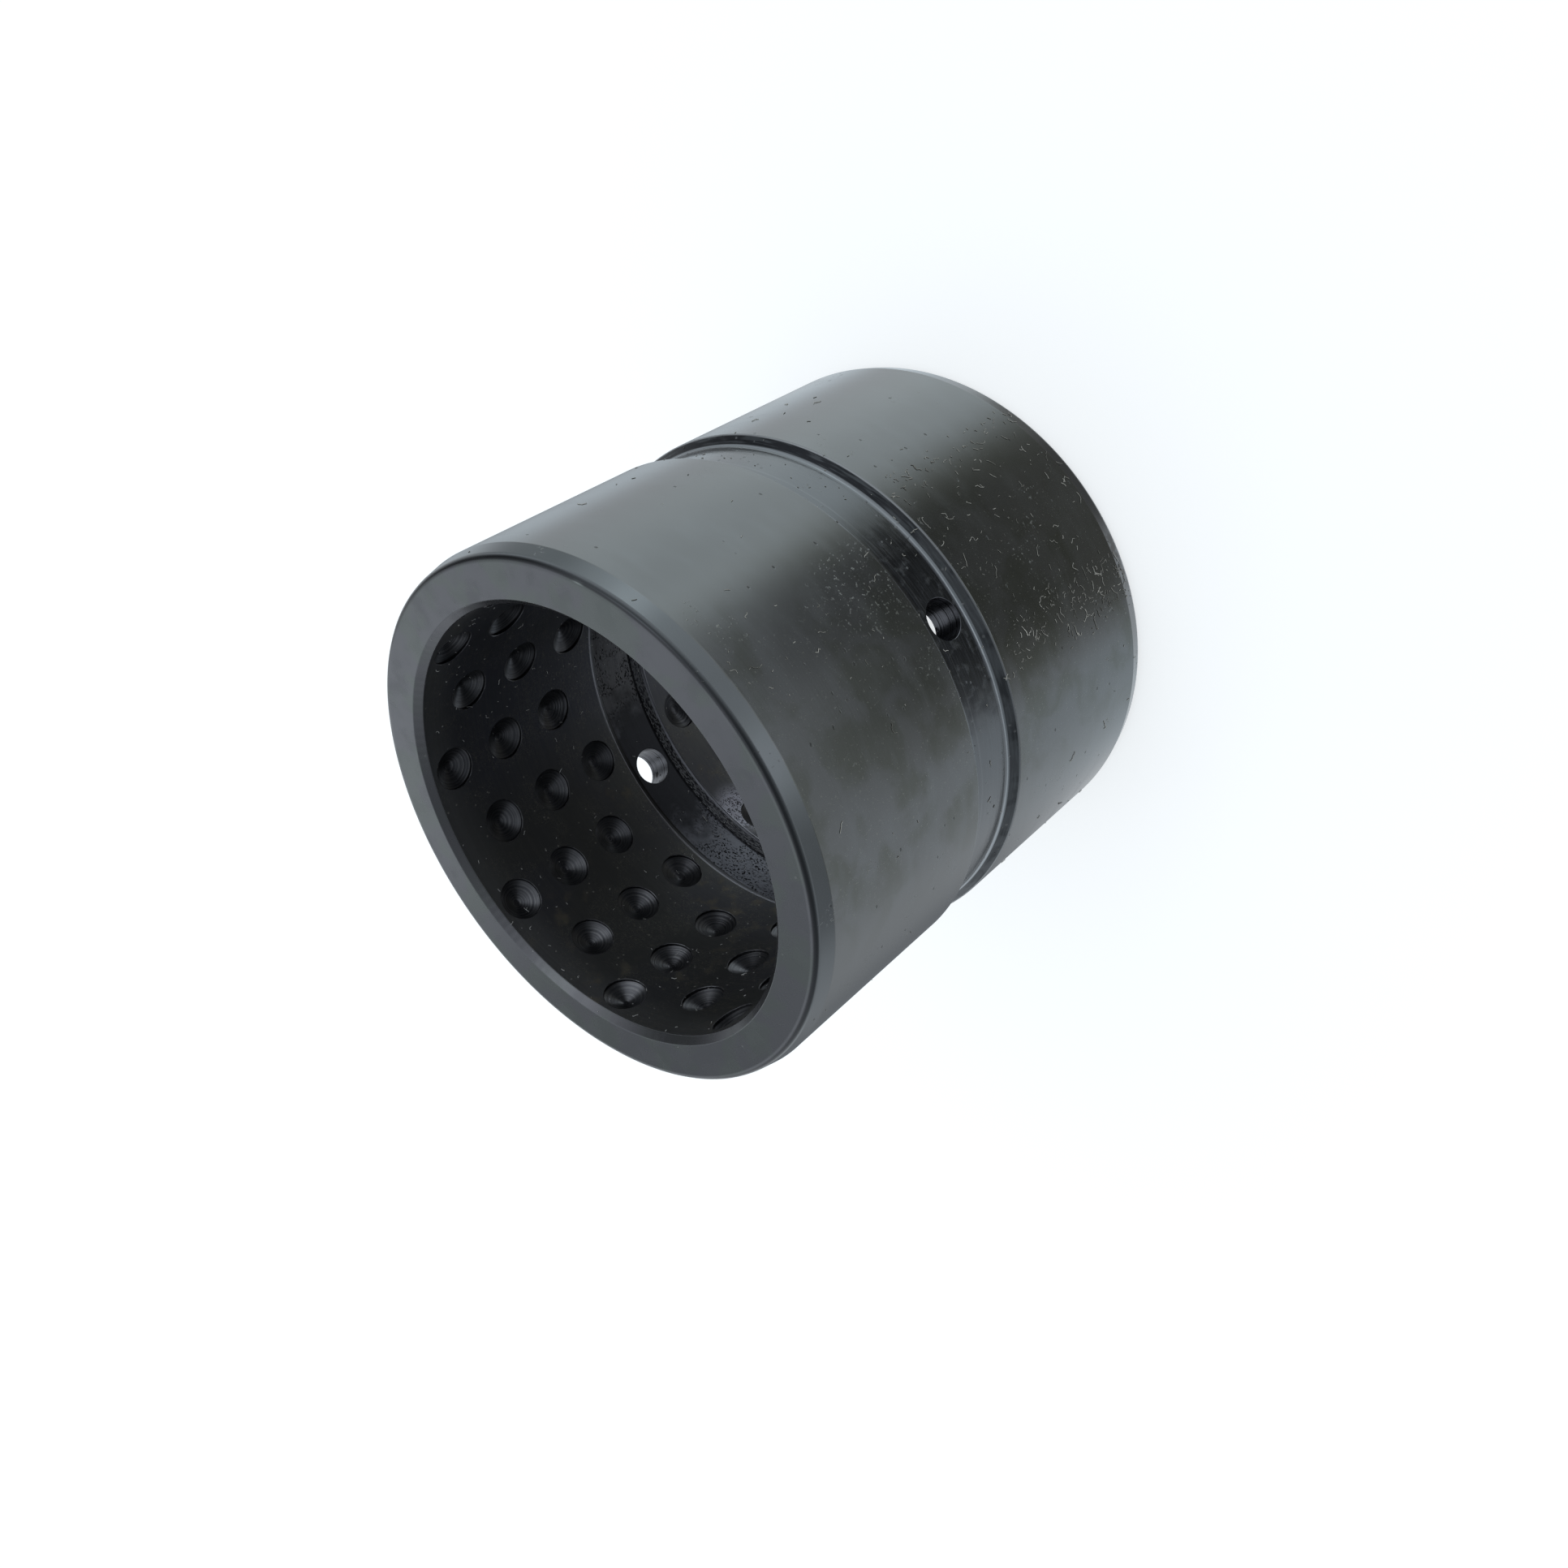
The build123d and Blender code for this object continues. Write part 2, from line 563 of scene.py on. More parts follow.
def scratches(place, turned, width, share):
    """A mask of fine straight scratches that lie near this direction."""
    tree = place.id_data
    laid = add(tree, "Mapping", {"Vector": place, "Rotation": turned, "Scale": (0.06, 1.6, 1.6)})
    noise = add(tree, "TexNoise", {"Vector": laid, "Scale": 1.0, "Detail": 1})
    line = band(noise, 0.5 - width, 0.5 + width, width)
    return overlap(line, cloud(place, 6.0, 1 - share - 0.06, 1 - share + 0.02))


def painted(ground, *coats):
    """A ground colour under its coats, each one a mask, a colour and how far it covers."""
    colour = paint(ground)
    for mask, hex_colour, amount in coats:
        tree = mask.id_data
        part = add(tree, "Math", {0: mask, 1: amount}, operation="MULTIPLY")
        colour = add(tree, "Mix", {0: part, 6: colour, 7: paint(hex_colour)}, data_type="RGBA")
    return colour


def summed(start, *parts):
    """A start value plus each mask times its amount, as one socket."""
    total = start
    for mask, amount in parts:
        values = {0: mask, 1: amount, 2: total}
        total = add(mask.id_data, "Math", values, operation="MULTIPLY_ADD")
    return total


def finish_off(finish, colour, roughness, relief, metallic):
    """The finish with its shader, and relief as the surface's own height."""
    tree = finish.node_tree
    bump = add(tree, "Bump", {"Height": relief, "Distance": MM, "Strength": 1.0})
    shader = add(tree, "BsdfPrincipled", {
        "Base Color": colour, "Roughness": roughness, "Metallic": metallic, "Normal": bump,
    })
    add(tree, "OutputMaterial", {"Surface": shader})
    return finish


def edge_shade(at):
    """1 on the rounded outer edge of each end face, where a line of painted shade stands in for the
    dark that this edge reflects.
    """
    corner = add(at.place.id_data, "CombineXYZ", {"X": at.radius, "Y": at.from_middle})
    return spot(corner, ((OUTER_R - LEAD_IN_DEPTH) / MM, MIDDLE / MM, 0), 0.32, 0.62)


def by_grease_hole(place, near, far):
    """1 at the cross-drilled holes' axis, fading raggedly to 0 between these distances.

    The darkening runs round the groove, so a distance along the bushing counts double.
    """
    tree = place.id_data
    off_axis = add(tree, "VectorMath", {0: place, 1: (0, 1, 2), 2: (0, 0, -2 * MIDDLE / MM)},
                   operation="MULTIPLY_ADD")
    off_axis = add(tree, "VectorMath", {0: off_axis}, operation="LENGTH")
    ragged = add(tree, "TexNoise", {"Vector": place, "Scale": 0.45, "Detail": 5})
    stray = 12.0                    # how far the ragged edge wanders, all in all
    off_axis = summed(off_axis, (ragged, stray))
    return add(tree, "MapRange", {"Value": off_axis, 1: far + stray / 2, 2: near + stray / 2},
               interpolation_type="SMOOTHSTEP")


SALT_PATCH = (38.9, 9.0, 50.0)      # where the bath's salt dried thickest
OIL_STREAK = (38.5, -8.0, 0.0)      # where the oil was wiped least, all along the bushing
OLD_GREASE = (38.9, -7.2, 1.8)      # where grease dried brown on the lower lead-in
DARK_LEAD_IN_SPOT = (38.8, 6.5, 1.7)         # where the lower lead-in is darker, in a spot
NICK = (27.8, 27.3, 80.0)           # a bright dent at the rim of the upper face
REFLECTED_PATCH = (-29.5, -13.9, 32.0)    # a painted reflection on the bore's lower land, with dark torn marks in it
DIRT = (-37.0, -1.9, 37.7)          # a speck of black dirt in one hole


def ground_finish():
    """Centreless ground outside: a smooth dark mirror with a fine grain round it, smeared oil,
    wiping marks, dust, salt crystals in clusters and a few dents. The grain is 0.3 mm apart, ten
    times coarser than the wheel's grit."""
    finish, tree, at = finish_tree("black_oxide_ground")
    grain = cloud(stretched(at.place, 0.05, 3.0), 1.0, 0.3, 0.7, detail=2)
    oil = cloud(at.place, 7.0, 0.42, 0.64, detail=5, distortion=0.5)
    oil = overlap(oil, spot(at.flat, OIL_STREAK, 12.0, 30.0))
    wiped = cloud(stretched(at.place, 0.35, 1.0), 3.0, 0.45, 0.75, detail=4)
    clusters = add(tree, "Math", {
        0: cloud(at.place, 6.0, 0.6, 0.7, detail=2),
        1: spot(at.place, SALT_PATCH, 3.0, 9.0),
    }, operation="MAXIMUM")
    salt = overlap(cloud(at.place, 0.5, 0.62, 0.7), clusters)
    lead_in = add(tree, "Math", {0: at.radius, 1: OUTER_R / MM - 0.03}, operation="LESS_THAN")
    dust = cloud(at.place, 0.35, 0.64, 0.72, detail=2)
    dust = overlap(dust, spot(at.flat, OIL_STREAK, 14.0, 26.0))
    dust = add(tree, "Math", {0: dust, 1: lead_in}, operation="SUBTRACT", use_clamp=True)
    dents = specks(stretched(at.place, 1.0, 1.7), 2.9, 0.3, 0.35)
    old_grease = cloud(at.place, 1.3, 0.42, 0.56, detail=4)
    old_grease = overlap(old_grease, spot(at.place, OLD_GREASE, 2.0, 6.0), lead_in)
    colour = painted(
        "#656768",
        (oil, "#50534b", 0.55),
        (wiped, "#6d7072", 0.4),
        (lead_in, "#63676a", 0.8),
        (overlap(spot(at.place, DARK_LEAD_IN_SPOT, 4.0, 10.0), lead_in), "#33383c", 0.75),
        (old_grease, "#2b2824", 0.8),
        (dust, "#8d8e88", 0.3),
        (salt, "#8f908a", 0.4),
        (dents, "#3a3b3a", 0.7),
        # painted shade along the outer edge of the end face
        (edge_shade(at), "#2e3033", 0.75),
    )
    roughness = summed(0.18, (wiped, 0.04), (dust, 0.1), (salt, 0.25), (dents, 0.2))
    relief = summed(0.0, (grain, 0.0006), (salt, 0.03), (dents, -0.03))
    return finish_off(finish, colour, roughness, relief, 0.97)


def groove_finish():
    """Turned grease groove: the tool's lines are 0.4 mm apart, and it is darker round the holes. The
    side walls carry painted shade, darker towards +Y, and painted highlights along their foot and rim."""
    finish, tree, at = finish_tree("black_oxide_turned_groove")
    lines = cloud(stretched(at.place, 0.02, 2.4), 1.0, 0.35, 0.65, detail=2)
    streaks = cloud(stretched(at.place, 0.25, 4.0), 1.0, 0.45, 0.65)
    floor_r, outer_r = GROOVE_FLOOR_R / MM, OUTER_R / MM
    wall = band(at.radius, floor_r + 0.38, outer_r - 0.16, 0.06)
    # painted highlight along the rim of each side wall
    rim = band(at.radius, outer_r - 0.16, outer_r - 0.02, 0.04)
    # painted shade: the side walls painted darker towards +Y
    darker_side = add(tree, "MapRange", {"Value": at.side, 1: 0.0, 2: 18.0, 3: 0.08, 4: 1.0})
    darker_side = overlap(darker_side, band(at.radius, floor_r + 0.22, outer_r - 0.16, 0.06))
    # painted highlight along the foot of each side wall, brightest towards -Y
    root = add(tree, "MapRange", {"Value": at.side, 1: 22.0, 2: 6.0, 3: 0.45, 4: 1.0})
    root = overlap(root, band(at.radius, floor_r + 0.05, floor_r + 0.3, 0.05))
    score = band(at.height, MIDDLE / MM + 2.2, MIDDLE / MM + 2.35, 0.08)
    floor = add(tree, "MapRange", {"Value": at.radius, 1: floor_r + 0.1, 2: floor_r + 0.03})
    # darker round the grease holes
    darker_by_hole = overlap(by_grease_hole(at.place, 9.0, 17.0), floor)
    grime = overlap(cloud(at.place, 1.6, 0.52, 0.72, detail=5), darker_by_hole)
    grit = specks(at.place, 1.1, 0.2, 0.4)
    colour = painted(
        "#606366",
        # painted shade on the side walls
        (darker_side, "#1e1f23", 0.88),
        (overlap(cloud(at.place, 3.5, 0.46, 0.62, detail=4), wall), "#26292c", 0.5),
        (overlap(streaks, wall), "#7b8185", 0.22),
        # painted highlights along the walls' foot and rim
        (root, "#a8aeb3", 0.8),
        (rim, "#a2a5a8", 0.7),
        (darker_by_hole, "#35373c", 0.75),
        (grime, "#6a6d70", 0.35),
        (score, "#85888b", 0.25),
        (grit, "#7d7f80", 0.5),
    )
    roughness = summed(0.16, (grime, 0.15), (grit, 0.3), (wall, 0.12), (streaks, 0.05))
    relief = summed(0.0, (lines, 0.0015), (streaks, 0.003), (grime, 0.01), (grit, 0.02))
    return finish_off(finish, colour, roughness, relief, 0.98)


def turned_end_finish():
    """Faced ends and bore chamfers: rings 0.2 mm apart, the marks of a chattering tool on the
    chamfers, greenish patches and grit."""
    finish, tree, at = finish_tree("black_oxide_turned_end")
    rings = add(tree, "TexNoise", {"W": at.radius, "Scale": 5.0, "Detail": 2}, noise_dimensions="1D")
    chamfer = add(tree, "Math", {0: at.from_middle, 1: MIDDLE / MM - 0.06}, operation="LESS_THAN")
    steps = add(tree, "Math", {0: at.turn, 1: 150.0}, operation="MULTIPLY")
    steps = add(tree, "Math", {0: steps}, operation="SINE")
    shaken = overlap(chamfer, cloud(at.place, 16.0, 0.45, 0.6, detail=1))
    chatter = add(tree, "Math", {0: steps, 1: shaken}, operation="MULTIPLY")
    patches = cloud(at.place, 4.0, 0.42, 0.7, detail=4)
    grit = specks(at.place, 2.3, 0.2, 0.4)
    nick = overlap(spot(at.place, NICK, 0.1, 1.2), band(at.radius, 38.75, 39.15, 0.15))
    colour = painted(
        "#66676b",
        (patches, "#5c5e61", 0.6),
        (cloud(stretched(at.place, 1.0, 0.1), 6.0, 0.45, 0.6, detail=2), "#646a67", 0.6),
        (nick, "#b4bdba", 0.7),
        (chamfer, "#626266", 0.6),
        (grit, "#7b7d7d", 0.5),
        # painted shade along the outer edge of the end face
        (edge_shade(at), "#2e3033", 0.75),
    )
    roughness = summed(0.25, (patches, 0.05), (grit, 0.25))
    relief = summed(0.0, (rings, 0.002), (chatter, 0.005), (grit, 0.01), (patches, 0.003))
    return finish_off(finish, colour, roughness, relief, 0.97)


def bore_finish():
    """Bored wall, honed lightly: matt black, with rings from the tool, brown oil stains by some
    of the pockets, short scratches and dust; painted light towards the upper mouth, a painted
    reflection with dark torn marks on the lower land, and a painted highlight along the relief groove's
    edges."""
    finish, tree, at = finish_tree("black_oxide_bore")
    rings = cloud(stretched(at.place, 0.04, 2.6), 1.0, 0.35, 0.7)
    blued = add(tree, "MapRange", {"Value": at.side, 1: 2.0, 2: 14.0})
    stains = overlap(cloud(at.place, 2.4, 0.5, 0.7, detail=6),
                     cloud(at.place, 13.0, 0.47, 0.6, detail=1))
    stains = add(tree, "Math", {0: stains, 1: blued}, operation="SUBTRACT", use_clamp=True)
    haze = cloud(at.place, 14.0, 0.4, 0.65, detail=2)
    dust = specks(at.place, 1.3, 0.16, 0.5)
    # painted light: the bore painted lighter towards its upper mouth
    mouth = band(at.height, LENGTH / MM - 5.0, LENGTH / MM, 3.0)
    # painted reflection on the lower land, with dark torn marks in it
    reflected_patch = spot(at.place, REFLECTED_PATCH, 2.5, 6.0)
    # painted highlight along the relief groove's edges, fading towards +Y and -Y
    relief_edge_highlight = add(tree, "Math", {0: at.side}, operation="ABSOLUTE")
    relief_edge_highlight = add(tree, "MapRange", {"Value": relief_edge_highlight, 1: 6.0, 2: 20.0})
    edge = RELIEF_HALF / MM
    relief_edge_highlight = overlap(relief_edge_highlight, band(at.from_middle, edge - 0.1, edge + 0.2, 0.05))
    tears = cloud(at.place, 0.5, 0.54, 0.57, detail=1, distortion=1.5)
    one_way = scratches(at.place, (0.9, 0.2, 0.1), 0.008, 0.5)
    other_way = scratches(at.place, (-0.6, 0.1, 0.9), 0.008, 0.45)
    colour = painted(
        "#4d4e4e",
        (haze, "#484950", 0.8),
        (blued, "#434550", 0.6),
        (mouth, "#6c6d6e", 0.7),
        (stains, "#6c665a", 0.75),
        (rings, "#565656", 0.35),
        (reflected_patch, "#84848e", 0.8),
        (overlap(tears, reflected_patch), "#1b1b1f", 0.9),
        (relief_edge_highlight, "#a4a5ad", 0.8),
        (one_way, "#7f7c72", 0.5),
        (other_way, "#7f7c72", 0.5),
        (dust, "#b4b2aa", 0.4),
    )
    roughness = summed(0.42, (haze, 0.05), (stains, 0.12), (dust, 0.3), (reflected_patch, -0.2))
    relief = summed(0.0, (rings, 0.003), (stains, 0.004), (dust, 0.02), (one_way, -0.004))
    return finish_off(finish, colour, roughness, relief, 0.75)


def relief_finish():
    """Relief groove in the bore, rough turned: rings 0.5 mm apart, torn pits in its floor, a torn
    lower side that is darker towards -Y, a painted highlight along its edges, painted shade in the
    corners at the foot of its sides, and darker round the holes."""
    finish, tree, at = finish_tree("black_oxide_relief")
    floor_r = RELIEF_FLOOR_R / MM
    rings = cloud(stretched(at.place, 0.03, 2.0), 1.0, 0.3, 0.7, detail=4)
    floor = add(tree, "MapRange", {"Value": at.radius, 1: floor_r - 0.1, 2: floor_r - 0.04})
    # darker round the grease holes
    darker_by_hole = by_grease_hole(at.place, 9.0, 16.0)
    pitted = cloud(at.place, 3.0, 0.35, 0.55, detail=1)
    pitted = add(tree, "Math", {0: pitted, 1: darker_by_hole}, operation="SUBTRACT", use_clamp=True)
    pits = cloud(stretched(at.place, 0.8, 1.2), 0.33, 0.56, 0.6, detail=2)
    pits = overlap(pits, pitted, floor)
    lower = add(tree, "Math", {0: at.height, 1: MIDDLE / MM}, operation="LESS_THAN")
    lower = overlap(lower, band(at.radius, BORE_R / MM + 0.2, floor_r - 0.15, 0.06))
    torn = cloud(stretched(at.place, 0.6, 3.0), 0.4, 0.46, 0.56)
    torn = overlap(torn, lower)
    # the lower flank darker towards -Y
    darker_side = add(tree, "MapRange", {"Value": at.side, 1: 15.0, 2: 8.0})
    browned = add(tree, "MapRange", {"Value": at.side, 1: 6.0, 2: 12.0})
    # painted shade: the corner at the foot of each side is painted black, and wider on the upper side
    upper = add(tree, "Math", {0: at.height, 1: MIDDLE / MM}, operation="GREATER_THAN")
    corner = add(tree, "MapRange", {"Value": upper, 3: floor_r - 0.2, 4: floor_r - 0.44})
    corner = add(tree, "Math", {0: at.radius, 1: corner}, operation="GREATER_THAN")
    corner = add(tree, "Math", {0: corner, 1: floor}, operation="SUBTRACT", use_clamp=True)
    colour = painted(
        "#55565c",
        (rings, "#65666e", 0.6),
        (overlap(browned, floor), "#3a3936", 0.6),
        (darker_by_hole, "#1c1d1f", 0.8),
        (overlap(darker_side, lower), "#27272a", 0.5),
        (torn, "#97989b", 0.6),
        # painted highlight along the groove's rounded edges
        (band(at.radius, BORE_R / MM + 0.03, BORE_R / MM + 0.22, 0.04), "#bcbdc6", 0.85),
        # painted shade in the corners at the foot of each side
        (corner, "#141416", 0.85),
        (pits, "#131316", 0.9),
    )
    roughness = summed(0.3, (rings, 0.08), (pits, 0.3), (torn, 0.1))
    relief = summed(0.0, (rings, 0.006), (torn, 0.03), (pits, -0.03))
    return finish_off(finish, colour, roughness, relief, 0.93)


def pocket_finish():
    """Drilled grease pockets: rings left by the drill, deeper in some pockets, painted shade on each
    pocket's side towards the upper face, on its wall and on the pockets towards +Y, and a painted
    highlight on each rim. The rings are 0.3 mm apart, coarser than the drill's feed."""
    finish, tree, at = finish_tree("black_oxide_pocket")
    own = add(tree, "Attribute", attribute_name="pocket_place").outputs["Vector"]
    seed = add(tree, "Attribute", attribute_name="pocket_seed").outputs["Fac"]
    own = add(tree, "VectorMath", {0: own, 1: (0, 1 / MM, 1 / MM)}, operation="MULTIPLY")
    from_axis = add(tree, "VectorMath", {0: own}, operation="LENGTH")
    rings = add(tree, "TexNoise", {
        "W": summed(from_axis, (seed, 37.0)), "Scale": 3.5, "Detail": 2,
    }, noise_dimensions="1D")
    depth = add(tree, "MapRange", {"Value": seed, 3: 0.015, 4: 0.045})
    tip = add(tree, "MapRange", {"Value": from_axis, 1: 0.4, 2: 0.25})
    radius = POCKET_R / MM
    # painted shade on the pocket's full-diameter wall
    wall = add(tree, "MapRange", {"Value": from_axis, 1: radius * 0.97, 2: radius})
    # painted highlight on the pocket's broken rim
    rim = add(tree, "MapRange", {"Value": from_axis, 1: radius, 2: POCKET_RIM_R / MM})
    oily = add(tree, "Math", {0: seed, 1: 5.3}, operation="MULTIPLY")
    oily = add(tree, "Math", {0: oily}, operation="FRACT")
    patches = cloud(at.place, 1.4, 0.4, 0.7, detail=4)
    upwards = add(tree, "SeparateXYZ", {0: own}).outputs["Z"]
    # painted shade: each pocket painted darker on its side towards the upper face
    darker_side = add(tree, "MapRange", {"Value": upwards, 1: -1.0, 2: 1.4}, interpolation_type="SMOOTHSTEP")
    colour = painted(
        "#696a6f",
        (oily, "#4b4c50", 0.8),
        (add(tree, "MapRange", {"Value": rings, 1: 0.42, 2: 0.6}), "#98989a", 0.45),
        (patches, "#525357", 0.25),
        # painted shade on each pocket's upper side
        (darker_side, "#242529", 0.6),
        # painted shade on the pockets towards +Y
        (add(tree, "MapRange", {"Value": at.side, 1: -8.0, 2: 16.0}), "#2f3034", 0.3),
        (tip, "#47484c", 0.6),
        # painted shade on the pocket's wall
        (wall, "#1d1d1f", 0.85),
        # painted highlight on the broken rim
        (rim, "#96979c", 0.7),
    )
    roughness = summed(0.3, (patches, 0.04), (oily, 0.08))
    grooves = add(tree, "Math", {0: rings, 1: depth}, operation="MULTIPLY")
    relief = summed(grooves, (patches, 0.002), (tip, 0.03))
    return finish_off(finish, colour, roughness, relief, 0.92)


def drilled_finish():
    """Cross-drilled grease holes: rings left by the drill, 0.3 mm apart, and a few chips."""
    finish, tree, at = finish_tree("black_oxide_drilled")
    rings = add(tree, "TexNoise", {"W": at.radius, "Scale": 3.5, "Detail": 2}, noise_dimensions="1D")
    chips = specks(at.place, 1.1, 0.25, 0.25)
    colour = painted(
        "#5c5d62",
        (rings, "#6a6b70", 0.6),
        (add(tree, "MapRange", {"Value": rings, 1: 0.44, 2: 0.4}), "#222326", 0.8),
        (chips, "#1b1b1c", 0.8),
        (spot(at.place, DIRT, 0.4, 0.6), "#060607", 1.0),
    )
    relief = summed(0.0, (rings, 0.04), (chips, 0.05))
    return finish_off(finish, colour, summed(0.28, (chips, 0.3)), relief, 0.95)


FINISHES = {
    "ground": ground_finish(),
    "groove": groove_finish(),
    "turned_end": turned_end_finish(),
    "bore": bore_finish(),
    "relief": relief_finish(),
    "pocket": pocket_finish(),
    "drilled": drilled_finish(),
}

# ---------------------------------------- the bushing


def pocket_lattice(pocket):
    """108 drilled pockets: columns round the bore, every other one shifted along it."""
    sizes = {
        "Pocket": pocket, "Columns": POCKET_COLUMNS, "Rows": POCKET_ROWS,
        "First row": POCKET_FIRST_ROW, "Row pitch": POCKET_ROW_PITCH, "Stagger": POCKET_STAGGER,
        "Length": LENGTH, "Seed": 11,
    }
    tree, given = tree_with_inputs("pocket lattice", sizes)
    given = given.outputs
    index = add(tree, "GeometryNodeInputIndex")
    column = add(tree, "Math", {0: index, 1: given["Columns"]}, operation="MODULO")
    line = add(tree, "Math", {0: index, 1: given["Columns"]}, operation="DIVIDE")
    line = add(tree, "Math", {0: line}, operation="FLOOR")
    row = add(tree, "Math", {0: line, 1: given["Rows"]}, operation="MODULO")
    in_upper = add(tree, "FunctionNodeCompare", {0: line, 1: given["Rows"]}, operation="GREATER_EQUAL")
    even = add(tree, "Math", {0: column, 1: 2}, operation="MODULO")
    even = add(tree, "Math", {0: 1, 1: even}, operation="SUBTRACT")
    height = add(tree, "Math", {0: row, 1: given["Row pitch"], 2: given["First row"]},
                 operation="MULTIPLY_ADD")
    height = add(tree, "Math", {0: even, 1: given["Stagger"], 2: height}, operation="MULTIPLY_ADD")
    from_top = add(tree, "Math", {0: given["Length"], 1: height}, operation="SUBTRACT")
    height = add(tree, "GeometryNodeSwitch", {"Switch": in_upper, "False": height, "True": from_top},
                 input_type="FLOAT")
    turn = add(tree, "Math", {0: column, 1: 0.5}, operation="ADD")
    turn = add(tree, "Math", {0: turn, 1: given["Columns"]}, operation="DIVIDE")
    turn = add(tree, "Math", {0: turn, 1: 2 * math.pi}, operation="MULTIPLY")
    lines = add(tree, "Math", {0: given["Rows"], 1: 2}, operation="MULTIPLY")
    count = add(tree, "Math", {0: lines, 1: given["Columns"]}, operation="MULTIPLY")
    points = add(tree, "GeometryNodePoints", {
        "Count": count, "Position": add(tree, "CombineXYZ", {"Z": height}),
    })
    shape = add(tree, "GeometryNodeObjectInfo", {"Object": given["Pocket"]})
    shape = add(tree, "GeometryNodeStoreNamedAttribute", {
        "Geometry": shape.outputs["Geometry"], "Name": "pocket_place",
        "Value": add(tree, "GeometryNodeInputPosition"),
    }, data_type="FLOAT_VECTOR")
    placed = add(tree, "GeometryNodeInstanceOnPoints", {
        "Points": points, "Instance": shape, "Rotation": add(tree, "CombineXYZ", {"Z": turn}),
    })
    chance = add(tree, "FunctionNodeRandomValue", {"Seed": given["Seed"]})
    seeded = add(tree, "GeometryNodeStoreNamedAttribute", {
        "Geometry": placed, "Name": "pocket_seed", "Value": chance,
    }, domain="INSTANCE")
    real = add(tree, "GeometryNodeRealizeInstances", {"Geometry": seeded})
    finished = add(tree, "GeometryNodeSetMaterial", {"Geometry": real, "Material": FINISHES["pocket"]})
    add(tree, "NodeGroupOutput", {"Geometry": finished})
    return tree, sizes


def make_bushing():
    """The turned shell and its pockets, joined to one smooth piece."""
    shell = shell_mesh()
    for zone in ZONES:
        shell.materials.append(FINISHES[zone])
    body = new_object("bushing_body", shell)
    pocket = bpy.data.objects.new("pocket", pocket_mesh())
    pockets_mesh = grown("pockets", bpy.data.meshes.new("pockets"), *pocket_lattice(pocket))
    bpy.data.objects.remove(pocket)
    pockets = new_object("pockets", pockets_mesh)
    both = [body, pockets]
    with bpy.context.temp_override(
        active_object=body, object=body, selected_objects=both, selected_editable_objects=both,
    ):
        bpy.ops.object.join()
    mesh = bmesh.new()
    mesh.from_mesh(body.data)
    bmesh.ops.remove_doubles(mesh, verts=mesh.verts, dist=0.003 * MM)
    bmesh.ops.recalc_face_normals(mesh, faces=mesh.faces)
    for face in mesh.faces:
        face.smooth = True
    mesh.to_mesh(body.data)
    mesh.free()
    body.data.set_sharp_from_angle(angle=math.radians(40))
    return body


# Where the bushing lay in its packing: a point, how far round it the lint is thick and how far it
# reaches, both in mm, and how many times the fibres a square metre lie there.
LINT_PATCHES = [
    ((38.6, 10.4, 20.0), 7, 22, 5.0),
    ((37.3, 14.4, 26.0), 3, 8, 20.0),
    ((39.0, -9.0, 6.5), 2, 7, 14.0),
    ((36.0, 17.5, 5.0), 1, 4, 12.0),
    ((39.4, 7.0, 50.0), 2, 10, 1.5),
]
LINT_ELSEWHERE = 0.08               # the same for the rest of the outside
SWARF_INSIDE = 0.55                 # and for the bore


